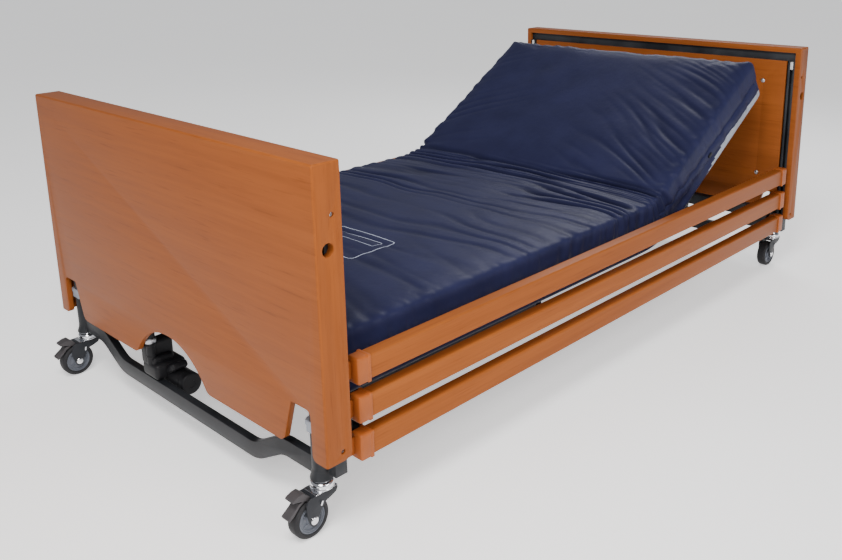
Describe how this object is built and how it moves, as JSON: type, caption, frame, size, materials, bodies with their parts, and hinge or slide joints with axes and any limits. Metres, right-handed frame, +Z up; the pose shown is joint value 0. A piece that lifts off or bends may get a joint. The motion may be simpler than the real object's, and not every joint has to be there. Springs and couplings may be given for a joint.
{
  "type": "adjustable hospital bed",
  "caption": "Low hospital bed with wooden ends, three-bar side rails that slide up, a raised backrest, knee break, electric height lift and braked castors.",
  "frame": {"origin": "centre of the footprint's bounding box, on the floor", "axes": "+Z up; +Y towards the head end; +X towards the side rail on the patient's left"},
  "size_m": [1.2, 2.244, 0.8],
  "materials": {
    "laminate": "satin cherry-coloured laminate",
    "rail_laminate": "satin cherry-coloured laminate foil",
    "cap_plastic": "satin moulded plastic",
    "dark_steel": "anthracite powder coat",
    "leg_steel": "anthracite powder coat",
    "chrome": "bright plating",
    "zinc": "zinc plating",
    "collar_plastic": "matt moulded plastic",
    "stop_plastic": "matt moulded plastic",
    "motor_plastic": "matt black moulding",
    "castor_plastic": "satin grey moulding",
    "hub_plastic": "satin grey moulding",
    "tyre_rubber": "smooth charcoal tread",
    "pedal_plastic": "matt brown-grey moulding",
    "mattress_cover": "coated navy stretch fabric"
  },
  "bodies": {
    "bed_frame": {"head_board": "laminate", "foot_board": "laminate", "inner_panels": "laminate", "panel_screws": "zinc", "board_bolts": "zinc", "end_frames": "dark_steel", "lift_collars": "collar_plastic", "rail_channels": "dark_steel", "channel_stops": "stop_plastic", "lift_rods": "chrome", "chassis": "dark_steel", "seat_deck": "dark_steel", "deck_pins": "zinc", "mattress_seat": "mattress_cover", "control_box": "motor_plastic", "backrest_motor": "motor_plastic", "knee_motor": "motor_plastic"},
    "backrest": {"backrest_deck": "dark_steel", "mattress_back": "mattress_cover"},
    "thigh_section": {"thigh_deck": "dark_steel", "knee_pins": "zinc", "mattress_thigh": "mattress_cover"},
    "calf_section": {"calf_deck": "dark_steel", "mattress_calf": "mattress_cover"},
    "backrest_push_rod": {"backrest_rod": "chrome"},
    "knee_push_rod": {"knee_rod": "chrome"},
    "foot_leg_unit": {"foot_leg_frame": "leg_steel", "foot_lift_motor": "motor_plastic", "foot_castor_cups": "chrome"},
    "head_leg_unit": {"head_leg_frame": "leg_steel", "head_lift_motor": "motor_plastic", "head_castor_cups": "chrome"},
    "foot_right_swivel": {"foot_right_fork": "castor_plastic"},
    "foot_right_wheel": {"foot_right_hub": "hub_plastic", "foot_right_tyre": "tyre_rubber"},
    "foot_left_swivel": {"foot_left_fork": "castor_plastic"},
    "foot_left_wheel": {"foot_left_hub": "hub_plastic", "foot_left_tyre": "tyre_rubber"},
    "head_right_swivel": {"head_right_fork": "castor_plastic"},
    "head_right_wheel": {"head_right_hub": "hub_plastic", "head_right_tyre": "tyre_rubber"},
    "head_left_swivel": {"head_left_fork": "castor_plastic"},
    "head_left_wheel": {"head_left_hub": "hub_plastic", "head_left_tyre": "tyre_rubber"},
    "foot_right_brake": {"foot_right_pedal": "pedal_plastic"},
    "foot_left_brake": {"foot_left_pedal": "pedal_plastic"},
    "right_top_bar": {"right_rail_top": "rail_laminate", "right_rail_top_caps": "cap_plastic"},
    "right_middle_bar": {"right_rail_middle": "rail_laminate", "right_rail_middle_caps": "cap_plastic"},
    "right_low_bar": {"right_rail_low": "rail_laminate", "right_rail_low_caps": "cap_plastic"},
    "left_top_bar": {"left_rail_top": "rail_laminate", "left_rail_top_caps": "cap_plastic"},
    "left_middle_bar": {"left_rail_middle": "rail_laminate", "left_rail_middle_caps": "cap_plastic"},
    "left_low_bar": {"left_rail_low": "rail_laminate", "left_rail_low_caps": "cap_plastic"}
  },
  "joints": [
    {"name": "foot_lift", "type": "slide", "parent": "foot_leg_unit", "child": "bed_frame", "axis": [0, 0, 1], "range_m": [0, 0.4]},
    {"name": "head_lift", "type": "slide", "parent": "bed_frame", "child": "head_leg_unit", "axis": [0, 0, -1], "range_m": [0, 0.4]},
    {"name": "foot_right_swivel_turn", "type": "hinge", "parent": "foot_leg_unit", "child": "foot_right_swivel", "pos_m": [0.534, -1.024, 0.105], "axis": [0, 0, 1], "continuous": true},
    {"name": "foot_right_wheel_spin", "type": "hinge", "parent": "foot_right_swivel", "child": "foot_right_wheel", "pos_m": [0.534, -1.064, 0.0445], "axis": [1, 0, 0], "continuous": true},
    {"name": "foot_left_swivel_turn", "type": "hinge", "parent": "foot_leg_unit", "child": "foot_left_swivel", "pos_m": [-0.534, -1.024, 0.105], "axis": [0, 0, 1], "continuous": true},
    {"name": "foot_left_wheel_spin", "type": "hinge", "parent": "foot_left_swivel", "child": "foot_left_wheel", "pos_m": [-0.534, -1.064, 0.0445], "axis": [1, 0, 0], "continuous": true},
    {"name": "head_right_swivel_turn", "type": "hinge", "parent": "head_leg_unit", "child": "head_right_swivel", "pos_m": [0.534, 1.088, 0.105], "axis": [0, 0, 1], "continuous": true},
    {"name": "head_right_wheel_spin", "type": "hinge", "parent": "head_right_swivel", "child": "head_right_wheel", "pos_m": [0.534, 1.048, 0.0445], "axis": [1, 0, 0], "continuous": true},
    {"name": "head_left_swivel_turn", "type": "hinge", "parent": "head_leg_unit", "child": "head_left_swivel", "pos_m": [-0.534, 1.088, 0.105], "axis": [0, 0, 1], "continuous": true},
    {"name": "head_left_wheel_spin", "type": "hinge", "parent": "head_left_swivel", "child": "head_left_wheel", "pos_m": [-0.534, 1.048, 0.0445], "axis": [1, 0, 0], "continuous": true},
    {"name": "foot_right_brake_tip", "type": "hinge", "parent": "foot_right_swivel", "child": "foot_right_brake", "pos_m": [0.534, -1.071, 0.0925], "axis": [1, 0, 0], "range_deg": [-8, 0]},
    {"name": "foot_left_brake_tip", "type": "hinge", "parent": "foot_left_swivel", "child": "foot_left_brake", "pos_m": [-0.534, -1.071, 0.0925], "axis": [1, 0, 0], "range_deg": [-8, 0]},
    {"name": "backrest_hinge", "type": "hinge", "parent": "bed_frame", "child": "backrest", "pos_m": [0, 0.322, 0.2475], "axis": [1, 0, 0], "range_deg": [-31.5, 38.5]},
    {"name": "thigh_hinge", "type": "hinge", "parent": "bed_frame", "child": "thigh_section", "pos_m": [0, 0.092, 0.2475], "axis": [-1, 0, 0], "range_deg": [0, 30]},
    {"name": "knee_hinge", "type": "hinge", "parent": "thigh_section", "child": "calf_section", "pos_m": [0, -0.238, 0.2475], "axis": [-1, 0, 0], "range_deg": [-44, 0]},
    {"name": "backrest_push", "type": "slide", "parent": "bed_frame", "child": "backrest_push_rod", "axis": [0, 1, 0], "range_m": [-0.062, 0.0755]},
    {"name": "knee_push", "type": "slide", "parent": "bed_frame", "child": "knee_push_rod", "axis": [0, -1, 0], "range_m": [0, 0.054]},
    {"name": "right_top_bar_lift", "type": "slide", "parent": "bed_frame", "child": "right_top_bar", "axis": [0, 0, 1], "range_m": [0, 0.34]},
    {"name": "right_middle_bar_lift", "type": "slide", "parent": "bed_frame", "child": "right_middle_bar", "axis": [0, 0, 1], "range_m": [0, 0.286]},
    {"name": "right_low_bar_lift", "type": "slide", "parent": "bed_frame", "child": "right_low_bar", "axis": [0, 0, 1], "range_m": [0, 0.232]},
    {"name": "left_top_bar_lift", "type": "slide", "parent": "bed_frame", "child": "left_top_bar", "axis": [0, 0, 1], "range_m": [0, 0.34]},
    {"name": "left_middle_bar_lift", "type": "slide", "parent": "bed_frame", "child": "left_middle_bar", "axis": [0, 0, 1], "range_m": [0, 0.286]},
    {"name": "left_low_bar_lift", "type": "slide", "parent": "bed_frame", "child": "left_low_bar", "axis": [0, 0, 1], "range_m": [0, 0.232]}
  ],
  "couplings": [
    {"joint": "head_lift", "follows": "foot_lift", "ratio": 1},
    {"joint": "knee_hinge", "follows": "thigh_hinge", "ratio": -1.46},
    {"joint": "backrest_push", "follows": "backrest_hinge", "m_per_rad": 0.1108},
    {"joint": "knee_push", "follows": "thigh_hinge", "m_per_rad": 0.10214},
    {"joint": "right_middle_bar_lift", "follows": "right_top_bar_lift", "ratio": 0.8412},
    {"joint": "right_low_bar_lift", "follows": "right_top_bar_lift", "ratio": 0.6823},
    {"joint": "left_middle_bar_lift", "follows": "left_top_bar_lift", "ratio": 0.8412},
    {"joint": "left_low_bar_lift", "follows": "left_top_bar_lift", "ratio": 0.6823}
  ]
}
